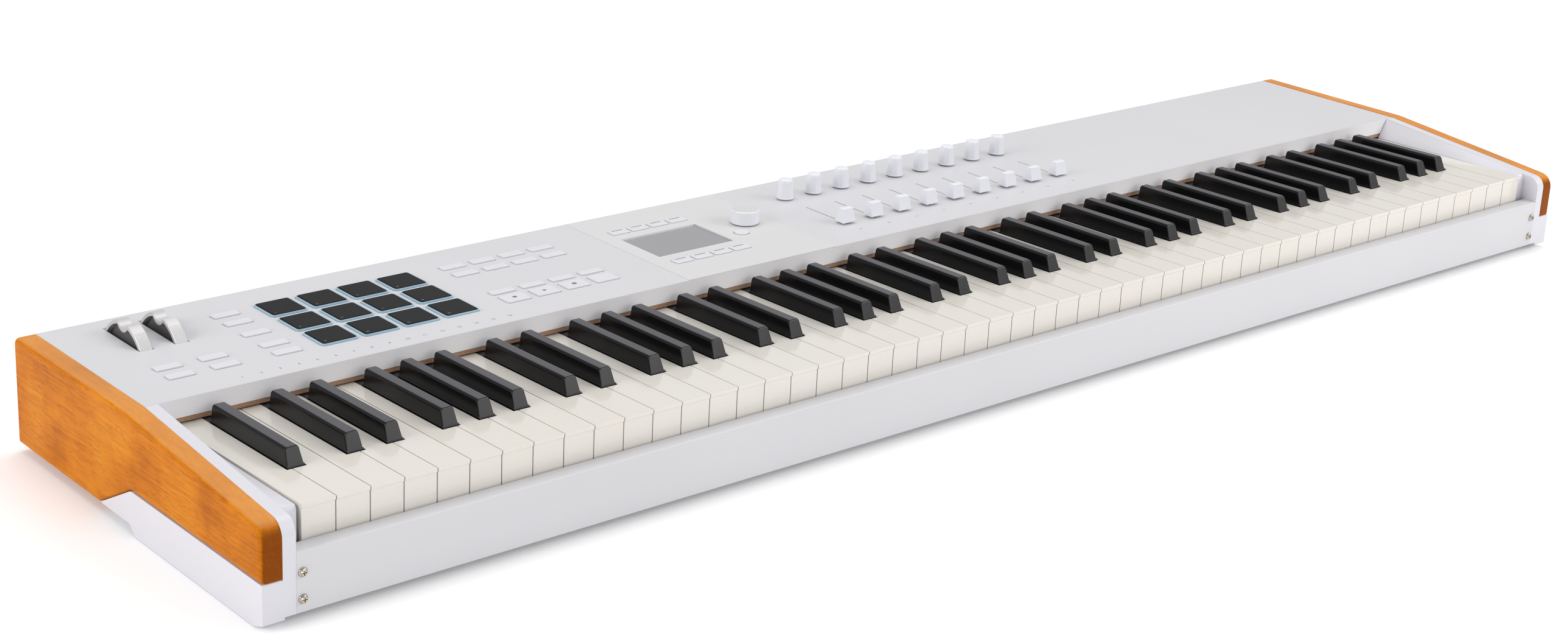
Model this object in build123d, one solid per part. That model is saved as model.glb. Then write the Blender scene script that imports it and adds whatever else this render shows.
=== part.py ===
from build123d import *
import os
from math import radians, tan

# Weighted-feel 88-note keyboard controller with wooden cheeks.
# Millimetres. +X runs from the low notes to the high notes, -Y faces the player,
# +Z is up, and the origin lies on the floor under the middle of the case.

# ---------------------------------------------------------------- driving sizes
WIDTH = 1290.0            # outside the two wooden cheeks
DEPTH = 320.0             # front faces to rear faces
PANEL_TOP = 81.0          # flat control panel above the floor
FRONT = -DEPTH / 2
BACK = DEPTH / 2
GAP = 0.3                 # running gap between neighbouring pieces

# Cheeks and end blocks, measured inwards from each end.
WOOD_THICK = 14.0
WALL_THICK = 8.9          # moulded wall beside the wood
INNER_CHEEK_END = 612.6   # distance from the middle to the lip beside the keys
WOOD_TOP = PANEL_TOP + 0.3
WOOD_REAR_FOOT = 6.1
WOOD_FRONT_FOOT = 30.0
FOLD_Y = 5.0              # where the flat panel ends and the cheeks slope down
CHEEK_SLOPE = tan(radians(5.46))
CHEEK_NOSE_R = 12.0
SKIRT_BOTTOM = 0.6

# Keys.
WHITE_PITCH = 23.5
WHITE_COUNT = 52
KEY_GAP = 0.8
KEY_FRONT = -147.5        # front lip of the white keys
KEY_FRONT_TOP = 67.5      # their top at that lip
KEY_FALL = tan(radians(1.36))
KEY_TAIL_END = 72.0
KEY_PIVOT_Y = 62.0
KEY_PIVOT_Z = 50.0
PIVOT_ROD_R = 2.5
BLACK_WIDTH = 12.0
BLACK_TOP_WIDTH = 9.8
BLACK_FRONT = -96.8
BLACK_BACK = -2.0
BLACK_RISE = 12.0
BLACK_CLEAR = 0.9

# Front rail.
RAIL_BACK = -148.0
RAIL_TOP = 45.0
RAIL_BOTTOM = 5.5
RAIL_HALF = 622.0
SHEET = 2.0

# Wheels.
WHEEL_X = (-584.9, -559.4)
WHEEL_Y = 115.4
WHEEL_Z = 64.2
WHEEL_R = 30.0
WHEEL_WIDTH = 9.2
WHEEL_SLOT = (10.5, 52.6)

# Pads.
PAD_X0 = -473.3
PAD_Y0 = 112.6
PAD_PITCH = 32.35
PAD_SIZE = 25.2
PAD_RIM = 27.6
PAD_TOP = PANEL_TOP + 1.9
PAD_BOTTOM = 77.5
PAD_RIM_TOP = PANEL_TOP + 1.3

# Buttons: (middle x, middle y, size x, size y).
SMALL = (19.2, 7.6)
LEFT_BUTTONS = (
    [(-588.4, y, 18.2, 7.8) for y in (55.9, 39.2)]
    + [(-556.0, y, 18.8, 7.8) for y in (55.9, 39.2)]
    + [(-511.3, y) + SMALL for y in (120.8, 103.1, 79.6, 55.7, 38.9)]
)
FUNCTION_X = [-328.2 + 25.75 * column for column in range(4)]
FUNCTION_BUTTONS = [(x, y) + SMALL for y in (120.5, 103.5) for x in FUNCTION_X]
TRANSPORT_BUTTONS = (
    [(x, 58.0, 19.2, 7.0) for x in FUNCTION_X]
    + [(x, 42.4, 19.2, 13.8) for x in FUNCTION_X]
)
SOFT_X = [-178.9 + 18.4 * column for column in range(4)]
SOFT_KEYS = [(x, y, 15.6, 8.4) for y in (118.6, 41.3) for x in SOFT_X]
BACK_BUTTON = (-100.0, 68.2, 5.6)
BUTTON_RISE = 1.2
BUTTON_CLEAR = 0.4

# Display.
DISPLAY_X = (-201.3, -59.8)
DISPLAY_RISE = 0.3
WINDOW = (-188.0, -116.8, 57.2, 104.2)
ENCODER = (-82.3, 86.0)
ENCODER_R = 11.2
ENCODER_HEIGHT = 11.5

# Knobs and faders.
STRIP_COUNT = 9
STRIP_X0 = -14.8
STRIP_PITCH = 29.83
KNOB_Y = 116.3
KNOB_R = 6.8
KNOB_TOP_R = 5.7
KNOB_HEIGHT = 16.0
FADER_FRONT_Y = 44.0
FADER_BACK_Y = 90.4
FADER_REST_Y = 44.6
FADER_SLOT = 1.3
BOARD_TOP = 66.2          # control board, above the keys' tails

parts = {}


# ---------------------------------------------------------------- helpers
def block(x0, x1, y0, y1, z0, z1):
    """A box between two opposite corners."""
    centre = Pos((x0 + x1) / 2, (y0 + y1) / 2, (z0 + z1) / 2)
    return centre * Box(x1 - x0, y1 - y0, z1 - z0)


def pillar(x, y, z0, z1, radius):
    """An upright cylinder."""
    return Pos(x, y, (z0 + z1) / 2) * Cylinder(radius, z1 - z0)


def cross_rod(x0, x1, y, z, radius):
    """A cylinder lying along X."""
    return Pos((x0 + x1) / 2, y, z) * Rot(0, 90, 0) * Cylinder(radius, x1 - x0)


def slab(x, y, size_x, size_y, corner, z0, z1):
    """A plate with rounded corners."""
    outline = RectangleRounded(size_x, size_y, corner)
    return Pos(x, y, z0) * extrude(outline, z1 - z0)


def side_shape(corners, x0, x1):
    """A (y, z, corner radius) outline pushed along X from x0 to x1."""
    face = make_face(Polyline(*[(y, z) for y, z, r in corners], close=True))
    for y, z, r in corners:
        if r > 0:
            nearest = face.vertices().sort_by_distance((y, z))[0]
            face = fillet(nearest, r)
    face = Plane.YZ.offset(x0) * face
    return extrude(face, x1 - x0, dir=(1, 0, 0))


def group(solids):
    """Separate solids kept together as one sub-part."""
    return Compound(children=[solid for item in solids for solid in item.solids()])


def mirrored(shape):
    return mirror(shape, about=Plane.YZ)


def strip_x(index):
    return STRIP_X0 + STRIP_PITCH * index


def key_top(y):
    """Height of the white keys' top surface at y."""
    return KEY_FRONT_TOP - KEY_FALL * (y - KEY_FRONT)


def cheek_top(y):
    """Height of the cheeks' top edge in front of the fold."""
    return WOOD_TOP - CHEEK_SLOPE * (FOLD_Y - y)


# ---------------------------------------------------------------- wooden cheeks
def wood_cheek():
    """Left cheek: flat at the rear, sloping to a rounded nose, stepped underneath."""
    outline = [
        (FRONT, WOOD_FRONT_FOOT, 1.2),
        (FRONT, cheek_top(FRONT), CHEEK_NOSE_R),
        (FOLD_Y, WOOD_TOP, 60.0),
        (BACK, WOOD_TOP, 5.0),
        (BACK, WOOD_REAR_FOOT, 2.0),
        (44.5, WOOD_REAR_FOOT, 3.0),
        (0.0, WOOD_FRONT_FOOT, 8.0),
    ]
    outer = -WIDTH / 2
    cheek = side_shape(outline, outer, outer + WOOD_THICK)
    side = cheek.faces().sort_by(Axis.X)[0]
    rounded = [e for e in side.edges() if e.center().Z > WOOD_FRONT_FOOT + 2]
    return fillet(rounded, 3.4)


parts["wood_cheek_left"] = wood_cheek()
parts["wood_cheek_right"] = mirrored(parts["wood_cheek_left"])


# ---------------------------------------------------------------- end blocks
def end_block():
    """Left moulded block: wall beside the wood, ledge under it, lip beside the keys."""
    outer = -WIDTH / 2
    wood_in = outer + WOOD_THICK
    wall_in = wood_in + WALL_THICK
    wall_outline = [
        (FRONT, RAIL_BOTTOM, 1.0),
        (FRONT, cheek_top(FRONT), CHEEK_NOSE_R - 2),
        (FOLD_Y - GAP, WOOD_TOP - 0.3, 0),
        (FOLD_Y - GAP, PANEL_TOP - SHEET - GAP, 0),
        (BACK - 4.5, PANEL_TOP - SHEET - GAP, 0),
        (BACK - 4.5, WOOD_REAR_FOOT + 2, 0),
        (3.5, WOOD_REAR_FOOT + 1, 0),
        (3.5, RAIL_BOTTOM, 0),
    ]
    wall = side_shape(wall_outline, wood_in + 0.05, wall_in)
    ledge_outline = [
        (FRONT, 4.1, 0.8),
        (FRONT, WOOD_FRONT_FOOT - 0.1, 1.0),
        (0.0, WOOD_FRONT_FOOT - 0.1, 8.0),
        (41.5, WOOD_REAR_FOOT + 1.4, 0),
        (38.0, WOOD_REAR_FOOT + 0.9, 0),
        (2.5, WOOD_REAR_FOOT + 0.9, 1.0),
        (-3.5, SKIRT_BOTTOM, 2.0),
        (FRONT + 10.0, SKIRT_BOTTOM, 2.5),
    ]
    ledge = side_shape(ledge_outline, outer + 0.4, wood_in + 1)
    pocket = block(outer + 3.5, wood_in - 2.5, FRONT + 14, -8, SKIRT_BOTTOM - 1, 26)
    return wall + (ledge - pocket) + inner_cheek(wall_in)


def inner_cheek(wall_in):
    """Lip beside the keys: steep at the fold and almost flat at its rounded nose."""
    lip = -INNER_CHEEK_END
    nose_y = KEY_FRONT + 3.0
    rear = [(wall_in - 1, 20), (lip, 20), (lip, 64.4), (wall_in, 80.6), (wall_in - 1, 80.6)]
    front = [(wall_in - 1, 20), (lip, 20), (lip, 66.6), (wall_in, 67.0), (wall_in - 1, 67.0)]
    sections = []
    for y, points in ((FOLD_Y - GAP, rear), (nose_y, front)):
        wire = Polyline(*[(x, y, z) for x, z in points], close=True)
        sections.append(make_face(wire))
    body = loft(sections)
    nose = body.edges().filter_by(Axis.X, tolerance=4).group_by(Axis.Y)[0].sort_by(Axis.Z)[-1]
    return fillet(nose, 4.5)


parts["end_block_left"] = end_block()
parts["end_block_right"] = mirrored(parts["end_block_left"])


# ---------------------------------------------------------------- front rail
def front_rail():
    """Folded sheet rail with a flat top shelf in front of the keys."""
    skin = block(-RAIL_HALF, RAIL_HALF, FRONT, RAIL_BACK, RAIL_BOTTOM, RAIL_TOP)
    inner = RAIL_HALF - 3
    hollow = block(-inner, inner, FRONT + SHEET, RAIL_BACK + 1, RAIL_BOTTOM + SHEET, RAIL_TOP - SHEET)
    rail = skin - hollow
    top_front = rail.edges().filter_by(Axis.X).filter_by(lambda e: e.center().Y < FRONT + 0.1)
    return fillet(top_front, 1.2)


parts["front_rail"] = front_rail()


def pan_head_screw(x, z):
    """Cross-recess screw driven backwards into the end block."""
    seat = (Align.CENTER, Align.CENTER, Align.MIN)
    head = Pos(x, FRONT, z) * Rot(90, 0, 0) * Cone(3.0, 1.9, 2.2, align=seat)
    shank = Pos(x, FRONT + 0.95, z) * Rot(90, 0, 0) * Cylinder(1.5, 1.9)
    slots = block(x - 1.7, x + 1.7, FRONT - 3, FRONT - 1.2, z - 0.35, z + 0.35)
    slots += block(x - 0.35, x + 0.35, FRONT - 3, FRONT - 1.2, z - 1.7, z + 1.7)
    return head + shank - slots


RAIL_SCREWS = [(side * 617.8, z) for side in (-1, 1) for z in (31.6, 14.5)]
for x, z in RAIL_SCREWS:
    hole = Pos(x, FRONT + 1, z) * Rot(90, 0, 0) * Cylinder(1.6, 3)
    parts["front_rail"] -= hole
rail_screws = [pan_head_screw(x, z) for x, z in RAIL_SCREWS]


# ---------------------------------------------------------------- bottom pan
PAN_BOTTOM = 7.5
PAN_TOP = PAN_BOTTOM + 1.5
PAN_HALF = 621.6
FOOT_SPOTS = [(x, y) for x in (-580, 0, 580) for y in (-120, 130)]


def bottom_pan():
    """Sheet-steel floor with low front, rear and end flanges."""
    floor = block(-PAN_HALF, PAN_HALF, RAIL_BACK + GAP, BACK - 4.5, PAN_BOTTOM, PAN_TOP)
    front = block(-PAN_HALF, PAN_HALF, RAIL_BACK + GAP, RAIL_BACK + GAP + 1.5, PAN_BOTTOM, 18)
    rear = block(-PAN_HALF, PAN_HALF, BACK - 6, BACK - 4.5, PAN_BOTTOM, 20)
    pan = floor + front + rear
    for x, y in FOOT_SPOTS:
        pan -= pillar(x, y, PAN_BOTTOM - 1, PAN_TOP + 1, 2.1)
    return pan


def rubber_foot(x, y):
    """Round foot with a stud pushed through the floor."""
    return pillar(x, y, 0, PAN_BOTTOM, 11) + pillar(x, y, PAN_BOTTOM, PAN_TOP + 2, 2.0)


parts["bottom_pan"] = bottom_pan()
parts["rubber_feet"] = group([rubber_foot(x, y) for x, y in FOOT_SPOTS])


# ---------------------------------------------------------------- wheels
def wheel(x):
    """Wheel on a cross axle, hollowed on both sides, with a scoop for the finger."""
    half = WHEEL_WIDTH / 2
    disc = cross_rod(x - half, x + half, WHEEL_Y, WHEEL_Z, WHEEL_R)
    scoop = cross_rod(x - half - 1, x + half + 1, WHEEL_Y - 0.5, WHEEL_Z + 35.2, 9.8)
    body = disc - scoop
    hollow = cross_rod(x - half, x + half, WHEEL_Y, WHEEL_Z, WHEEL_R - 2.6)
    hollow -= cross_rod(x - half - 1, x + half + 1, WHEEL_Y - 0.5, WHEEL_Z + 35.2, 12.2)
    hollow -= block(x - 1.2, x + 1.2, WHEEL_Y - 40, WHEEL_Y + 40, WHEEL_Z - 40, WHEEL_Z + 40)
    hollow -= cross_rod(x - half - 1, x + half + 1, WHEEL_Y, WHEEL_Z, 7.0)
    bore = cross_rod(x - half - 1, x + half + 1, WHEEL_Y, WHEEL_Z, 2.55)
    return body - hollow - bore


parts["pitch_wheel"] = wheel(WHEEL_X[0])
parts["mod_wheel"] = wheel(WHEEL_X[1])


def wheel_bracket():
    """Axle carried by three sheet ears standing on the floor."""
    axle = cross_rod(WHEEL_X[0] - 12.7, WHEEL_X[1] + 12.7, WHEEL_Y, WHEEL_Z, 2.5)
    ears = []
    for x in (WHEEL_X[0] - 11.2, (WHEEL_X[0] + WHEEL_X[1]) / 2, WHEEL_X[1] + 11.2):
        ears.append(block(x - 1, x + 1, WHEEL_Y - 8, WHEEL_Y + 8, PAN_TOP, WHEEL_Z + 6))
    base = block(WHEEL_X[0] - 12.2, WHEEL_X[1] + 12.2, WHEEL_Y - 8, WHEEL_Y + 8, PAN_TOP, PAN_TOP + 2)
    bracket = axle + base
    for ear in ears:
        bracket += ear
    return bracket


parts["wheel_bracket"] = wheel_bracket()


# ---------------------------------------------------------------- buttons
def button(x, y, size_x, size_y, top):
    """Cap with rounded corners and a wider flange that holds it under the panel."""
    cap = slab(x, y, size_x, size_y, 1.2, top - 5.5, top)
    cap = fillet(cap.edges().group_by(Axis.Z)[-1], 0.45)
    flange = slab(x, y, size_x + 1.6, size_y + 1.6, 1.6, top - 5.5, top - 4.3)
    stem = pillar(x, y, top - 8.0, top - 5.5, 1.5)
    return cap + flange + stem


def button_group(spots, top):
    return group([button(x, y, size_x, size_y, top) for x, y, size_x, size_y in spots])


DISPLAY_TOP = PANEL_TOP + DISPLAY_RISE
parts["left_buttons"] = button_group(LEFT_BUTTONS, PANEL_TOP + BUTTON_RISE)
parts["function_buttons"] = button_group(FUNCTION_BUTTONS, PANEL_TOP + BUTTON_RISE)
parts["transport_buttons"] = button_group(TRANSPORT_BUTTONS, PANEL_TOP + BUTTON_RISE)


def round_button(x, y, radius, top):
    cap = pillar(x, y, top - 5.5, top, radius)
    cap = fillet(cap.edges().group_by(Axis.Z)[-1], 0.45)
    return cap + pillar(x, y, top - 5.5, top - 4.3, radius + 0.8)


soft_keys = [button(x, y, sx, sy, DISPLAY_TOP + 1.0) for x, y, sx, sy in SOFT_KEYS]
soft_keys.append(round_button(*BACK_BUTTON, DISPLAY_TOP + 1.0))
parts["display_buttons"] = group(soft_keys)


# ---------------------------------------------------------------- pads
def pad_spots():
    """Middles of the pads, row by row from the back."""
    for row in range(3):
        for column in range(4):
            yield row, PAD_X0 + PAD_PITCH * column, PAD_Y0 - PAD_PITCH * row


def pad(x, y):
    body = slab(x, y, PAD_SIZE, PAD_SIZE, 1.6, PAD_BOTTOM, PAD_TOP)
    return fillet(body.edges().group_by(Axis.Z)[-1], 0.5)


def pad_tray():
    """Translucent moulding: one plate under the panel with a raised rim per pad."""
    middle_x = PAD_X0 + 1.5 * PAD_PITCH
    middle_y = PAD_Y0 - PAD_PITCH
    tray = slab(middle_x, middle_y, 130, 98, 3, 74.8, 76.6)
    for row, x, y in pad_spots():
        tray += slab(x, y, PAD_RIM, PAD_RIM, 2.6, 76.0, PAD_RIM_TOP)
        tray -= slab(x, y, PAD_SIZE + 0.8, PAD_SIZE + 0.8, 2.0, 76.6, PAD_TOP)
    return tray


for row_number in range(3):
    row_pads = [pad(x, y) for row, x, y in pad_spots() if row == row_number]
    parts[f"pads_row_{row_number + 1}"] = group(row_pads)
parts["pad_tray"] = pad_tray()


# ---------------------------------------------------------------- display
def window_hole(grow, z0, z1):
    x0, x1, y0, y1 = WINDOW
    return block(x0 - grow, x1 + grow, y0 - grow, y1 + grow, z0, z1)


x0, x1, y0, y1 = WINDOW
pane = block(x0 + 0.2, x1 - 0.2, y0 + 0.2, y1 - 0.2, 77.7, 80.2)
parts["display_window"] = pane + block(x0 - 2, x1 + 2, y0 - 2, y1 + 2, 77.7, 78.8)
screen = block(x0 - 1, x1 + 1, y0 - 1, y1 + 1, 74.5, 77.4)
parts["lcd_module"] = screen + block(x0 - 4, x1 + 4, y0 - 4, y1 + 4, 72.8, 74.5)


# ---------------------------------------------------------------- knobs
def lathe(x, y, outline):
    """A (radius, z) outline turned about an upright axis at x, y."""
    face = make_face(Plane.XZ * Polyline(*outline, close=True))
    return Pos(x, y, 0) * revolve(face, Axis.Z)


def knob(x, y):
    """Tapered cap with shallow flats, on a split-shaft socket."""
    base = PANEL_TOP + 0.9
    top = base + KNOB_HEIGHT
    body = lathe(x, y, [(0, base), (KNOB_R, base), (KNOB_TOP_R, top), (0, top)])
    body = fillet(body.edges().group_by(Axis.Z)[-1], 1.3)
    upright = (Align.CENTER, Align.CENTER, Align.MIN)
    scallop = Cylinder(30, KNOB_HEIGHT * 2, align=upright)
    for location in PolarLocations(KNOB_R + 29.35, 8).locations:
        body -= Pos(x, y, base + 3) * location * scallop
    socket = pillar(x, y, base - 0.1, base + 9, 3.05)
    return body - socket


def encoder_cap():
    """Smooth drum with a shallow dish in its metal top."""
    x, y = ENCODER
    base = DISPLAY_TOP + 0.7
    top = base + ENCODER_HEIGHT - 0.7
    outline = [(0, base), (ENCODER_R, base), (ENCODER_R, top - 0.6), (ENCODER_R - 0.8, top)]
    outline += [(ENCODER_R - 2.0, top), (ENCODER_R - 2.6, top - 0.5), (0, top - 0.5)]
    return lathe(x, y, outline) - pillar(x, y, base - 0.1, base + 7, 3.05)


for index in range(STRIP_COUNT):
    parts[f"knob_{index + 1}"] = knob(strip_x(index), KNOB_Y)
parts["encoder_cap"] = encoder_cap()
shaft_top = DISPLAY_TOP + 6.5
parts["encoder_shaft"] = pillar(*ENCODER, 70, shaft_top, 3.0)


# ---------------------------------------------------------------- faders
def fader_cap(x):
    """Faceted wedge on a flat stem that rides in its slot."""
    y = FADER_REST_Y
    base = PANEL_TOP + 1.3
    bottom = Plane.XY.offset(base) * Rectangle(13.0, 10.2)
    top = Plane.XY.offset(base + 11.2) * Rectangle(10.4, 5.0)
    body = Pos(x, y, 0) * loft([bottom, top])
    upright = [e for e in body.edges() if abs(e.center().Z - base - 5.6) < 0.5]
    body = fillet(upright, 1.6)
    body = fillet(body.edges().group_by(Axis.Z)[-1], 0.8)
    stem = block(x - 0.35, x + 0.35, y - 1.4, y + 1.4, 70, base + 1)
    return body + stem


def potentiometers():
    """Nine rotary pots, nine slide pots and the encoder's switch, on the control board."""
    bodies = []
    for index in range(STRIP_COUNT):
        x = strip_x(index)
        can = block(x - 6, x + 6, KNOB_Y - 7, KNOB_Y + 7, BOARD_TOP + 0.1, 77)
        bodies.append(can + pillar(x, KNOB_Y, 77, PANEL_TOP + 9.4, 3.0))
        slide = block(x - 5.5, x + 5.5, FADER_FRONT_Y - 8, FADER_BACK_Y + 6, BOARD_TOP + 0.1, 74)
        slide -= block(x - 0.8, x + 0.8, FADER_FRONT_Y - 2.5, FADER_BACK_Y + 1.5, 68, 75)
        bodies.append(slide)
    x, y = ENCODER
    bodies.append(block(x - 6, x + 6, y - 6, y + 6, BOARD_TOP + 0.1, 69.2))
    return group(bodies)


for index in range(STRIP_COUNT):
    parts[f"fader_cap_{index + 1}"] = fader_cap(strip_x(index))
parts["potentiometers"] = potentiometers()


# ---------------------------------------------------------------- top panel
def panel_openings():
    """Everything cut through the flat of the panel."""
    z0 = PANEL_TOP - 4
    z1 = PANEL_TOP + 4
    cuts = []
    for x in WHEEL_X:
        half_y = WHEEL_SLOT[1] / 2
        half_x = WHEEL_SLOT[0] / 2
        cuts.append(block(x - half_x, x + half_x, WHEEL_Y + 1 - half_y, WHEEL_Y + 1 + half_y, z0, z1))
        cuts.append(cross_rod(x - half_x, x + half_x, WHEEL_Y, WHEEL_Z, WHEEL_R + 0.5))
    for x, y, size_x, size_y in LEFT_BUTTONS + FUNCTION_BUTTONS + TRANSPORT_BUTTONS:
        grow = 2 * BUTTON_CLEAR
        cuts.append(slab(x, y, size_x + grow, size_y + grow, 1.5, z0, z1))
    for x, y, size_x, size_y in SOFT_KEYS:
        cuts.append(slab(x, y, size_x + 0.8, size_y + 0.8, 1.5, z0, z1))
    cuts.append(pillar(BACK_BUTTON[0], BACK_BUTTON[1], z0, z1, BACK_BUTTON[2] + BUTTON_CLEAR))
    for row, x, y in pad_spots():
        cuts.append(slab(x, y, PAD_RIM + 0.6, PAD_RIM + 0.6, 2.9, z0, z1))
    for index in range(STRIP_COUNT):
        x = strip_x(index)
        cuts.append(pillar(x, KNOB_Y, z0, z1, 3.6))
        half = FADER_SLOT / 2
        cuts.append(block(x - half, x + half, FADER_FRONT_Y - 2, FADER_BACK_Y, z0, z1))
    cuts.append(pillar(*ENCODER, z0, z1, 3.6))
    cuts.append(window_hole(0, z0, z1))
    return cuts


SOCKETS = [(400, 7.5), (425, 7.5), (455, 5), (475, 5), (495, 5), (515, 5), (537, 6)]


def top_panel():
    """One folded sheet: fallboard lip, flat top and rear wall."""
    half = WIDTH / 2 - WOOD_THICK - GAP
    wall_half = WIDTH / 2 - WOOD_THICK - WALL_THICK - GAP
    rear = BACK - 1.0
    top = block(-half, half, FOLD_Y, rear, PANEL_TOP - SHEET, PANEL_TOP)
    lip = block(-wall_half, wall_half, FOLD_Y, FOLD_Y + SHEET, 68.3, PANEL_TOP)
    wall = block(-half, half, rear - SHEET, rear, PAN_BOTTOM + 2, PANEL_TOP)
    panel = top + lip + wall
    bends = panel.edges().filter_by(Axis.X).filter_by(lambda e: e.center().Z > PANEL_TOP - 0.1)
    panel = fillet(bends.sort_by(Axis.Y)[-1], 2.5)
    for cut in panel_openings():
        panel -= cut
    for x, radius in SOCKETS:
        panel -= Pos(-x, rear, 46) * Rot(90, 0, 0) * Cylinder(radius + 0.3, 12)
    return panel


def display_panel():
    """Thin overlay that covers the middle of the panel from fold to rear."""
    sheet = block(*DISPLAY_X, FOLD_Y, BACK - 1.0 - 2.6, PANEL_TOP, DISPLAY_TOP)
    for cut in panel_openings():
        sheet -= cut
    return sheet


parts["top_panel"] = top_panel()
parts["display_panel"] = display_panel()


# ---------------------------------------------------------------- rear sockets
def socket(x, radius):
    """Barrel behind the rear wall with an open mouth."""
    barrel = Pos(-x, BACK - 10.5, 46) * Rot(90, 0, 0) * Cylinder(radius, 19.4)
    mouth = Pos(-x, BACK - 5, 46) * Rot(90, 0, 0) * Cylinder(radius - 1.6, 14)
    housing = block(-x - radius - 1, -x + radius + 1, BACK - 24, BACK - 10, 36, 46 + radius + 1)
    return housing + barrel - mouth


parts["rear_sockets"] = group([socket(x, radius) for x, radius in SOCKETS])


# ---------------------------------------------------------------- keys
WHITE_NOTES = ("c", "d", "e", "f", "g", "a", "b")
# Black-key middles, measured from the left edge of each octave's C.
BLACK_NOTES = {"c_sharp": 20.9, "d_sharp": 49.2, "f_sharp": 90.2, "g_sharp": 117.5, "a_sharp": 144.1}
OCTAVE = 7 * WHITE_PITCH
LEFT_EDGE = -WHITE_COUNT * WHITE_PITCH / 2
FIRST_C = LEFT_EDGE + 2 * WHITE_PITCH
CAP_THICK = 4.0
KEY_WALL = 1.8
SKIRT_Z = 38.0
ARM_Z = 50.0


def black_middles():
    """Middle x of every black key with its note name."""
    middles = [("a_sharp", FIRST_C - OCTAVE + BLACK_NOTES["a_sharp"])]
    for octave in range(7):
        for name, offset in BLACK_NOTES.items():
            middles.append((name, FIRST_C + OCTAVE * octave + offset))
    return middles


BLACKS = black_middles()


def white_key(index):
    """Hollow key: capped head with an apron, and a tail that hooks over the rod."""
    x0 = LEFT_EDGE + WHITE_PITCH * index + KEY_GAP / 2
    x1 = x0 + WHITE_PITCH - KEY_GAP
    front = KEY_FRONT + 0.8
    outline = [
        (front, SKIRT_Z, 0),
        (front, key_top(front) - 2.2, 0),
        (KEY_FRONT, key_top(KEY_FRONT) - 1.6, 0),
        (KEY_FRONT, key_top(KEY_FRONT), 1.3),
        (KEY_TAIL_END, key_top(KEY_TAIL_END), 0),
        (KEY_TAIL_END, ARM_Z, 0),
        (front + 20, ARM_Z, 0),
        (front + 12, SKIRT_Z, 0),
    ]
    key = side_shape(outline, x0, x1)
    near = [x for name, x in BLACKS if x0 - 8 < x < x1 + 8]
    tail_x0 = x0
    tail_x1 = x1
    for x in near:
        half = BLACK_WIDTH / 2 + BLACK_CLEAR
        key -= block(x - half, x + half, BLACK_FRONT - BLACK_CLEAR, 100, 30, 80)
        if x < (x0 + x1) / 2:
            tail_x0 = x + half
        else:
            tail_x1 = x - half
    inside = [
        (front + KEY_WALL, SKIRT_Z - 1, 0),
        (front + KEY_WALL, key_top(front) - CAP_THICK, 0),
        (BLACK_FRONT - 4, key_top(BLACK_FRONT) - CAP_THICK, 0),
        (BLACK_FRONT - 4, SKIRT_Z - 1, 0),
    ]
    key -= side_shape(inside, x0 + KEY_WALL, x1 - KEY_WALL)
    channel = block(tail_x0 + 2, tail_x1 - 2, BLACK_FRONT + 2, 50, ARM_Z - 1, 60)
    key -= channel
    key -= cross_rod(x0 - 1, x1 + 1, KEY_PIVOT_Y, KEY_PIVOT_Z, PIVOT_ROD_R + 0.35)
    return key


def black_key(x):
    """Tapered black cap with a sloped front, on an arm that hooks over the rod."""
    foot = BLACK_WIDTH / 2
    top = BLACK_TOP_WIDTH / 2
    z_front = key_top(BLACK_FRONT)
    z_back = key_top(BLACK_BACK)
    base_plane = Plane(origin=(x, BLACK_FRONT, z_front), x_dir=(1, 0, 0), z_dir=(0, KEY_FALL, 1))
    length = BLACK_BACK - BLACK_FRONT
    lower = make_face(Polyline((-foot, 0), (foot, 0), (foot, length), (-foot, length), close=True))
    near = 5.5
    far = length - 0.8
    upper = make_face(Polyline((-top, near), (top, near), (top, far), (-top, far), close=True))
    cap = loft([base_plane * lower, base_plane.offset(BLACK_RISE) * upper])
    upper_edges = [e for e in cap.edges() if base_plane.to_local_coords(e.center()).Z > BLACK_RISE - 0.2]
    cap = fillet(upper_edges, 1.3)
    arm_outline = [
        (BLACK_FRONT, ARM_Z, 0),
        (BLACK_FRONT, z_front + 0.2, 0),
        (BLACK_BACK, z_back + 0.2, 0),
        (BLACK_BACK, z_back - 0.8, 0),
        (KEY_TAIL_END, key_top(KEY_TAIL_END) - 1, 0),
        (KEY_TAIL_END, ARM_Z, 0),
    ]
    arm = side_shape(arm_outline, x - foot + 0.1, x + foot - 0.1)
    arm -= block(x - foot + 2.2, x + foot - 2.2, BLACK_FRONT + 3, 50, ARM_Z - 1, 60)
    key = cap + arm
    return key - cross_rod(x - 8, x + 8, KEY_PIVOT_Y, KEY_PIVOT_Z, PIVOT_ROD_R + 0.35)


for position, note in enumerate(WHITE_NOTES):
    keys = [white_key(i) for i in range(WHITE_COUNT) if (i - 2) % 7 == position]
    parts[f"keys_{note}"] = group(keys)
for note in BLACK_NOTES:
    parts[f"keys_{note}"] = group([black_key(x) for name, x in BLACKS if name == note])


# ---------------------------------------------------------------- key frame
def key_frame():
    """Folded steel chassis: base sheet, rear web with the pivot rod, front stop web."""
    half = 608.0
    base = block(-half, half, -135, 75, 12, 13.5)
    rear_web = block(-half, half, KEY_PIVOT_Y - 0.8, KEY_PIVOT_Y + 0.8, 12, KEY_PIVOT_Z)
    rod = cross_rod(-half, half, KEY_PIVOT_Y, KEY_PIVOT_Z, PIVOT_ROD_R)
    stop_web = block(-half, half, -90, -70, 37.4, 38.9)
    stop_leg = block(-half, half, -71.5, -70, 12, 38.9)
    frame = base + rear_web + rod + stop_web + stop_leg
    for x in range(-550, 551, 220):
        frame += block(x - 8, x + 8, -130, -110, PAN_TOP, 12.5)
        frame += block(x - 8, x + 8, 40, 60, PAN_TOP, 12.5)
    return frame


parts["key_frame"] = key_frame()

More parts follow.
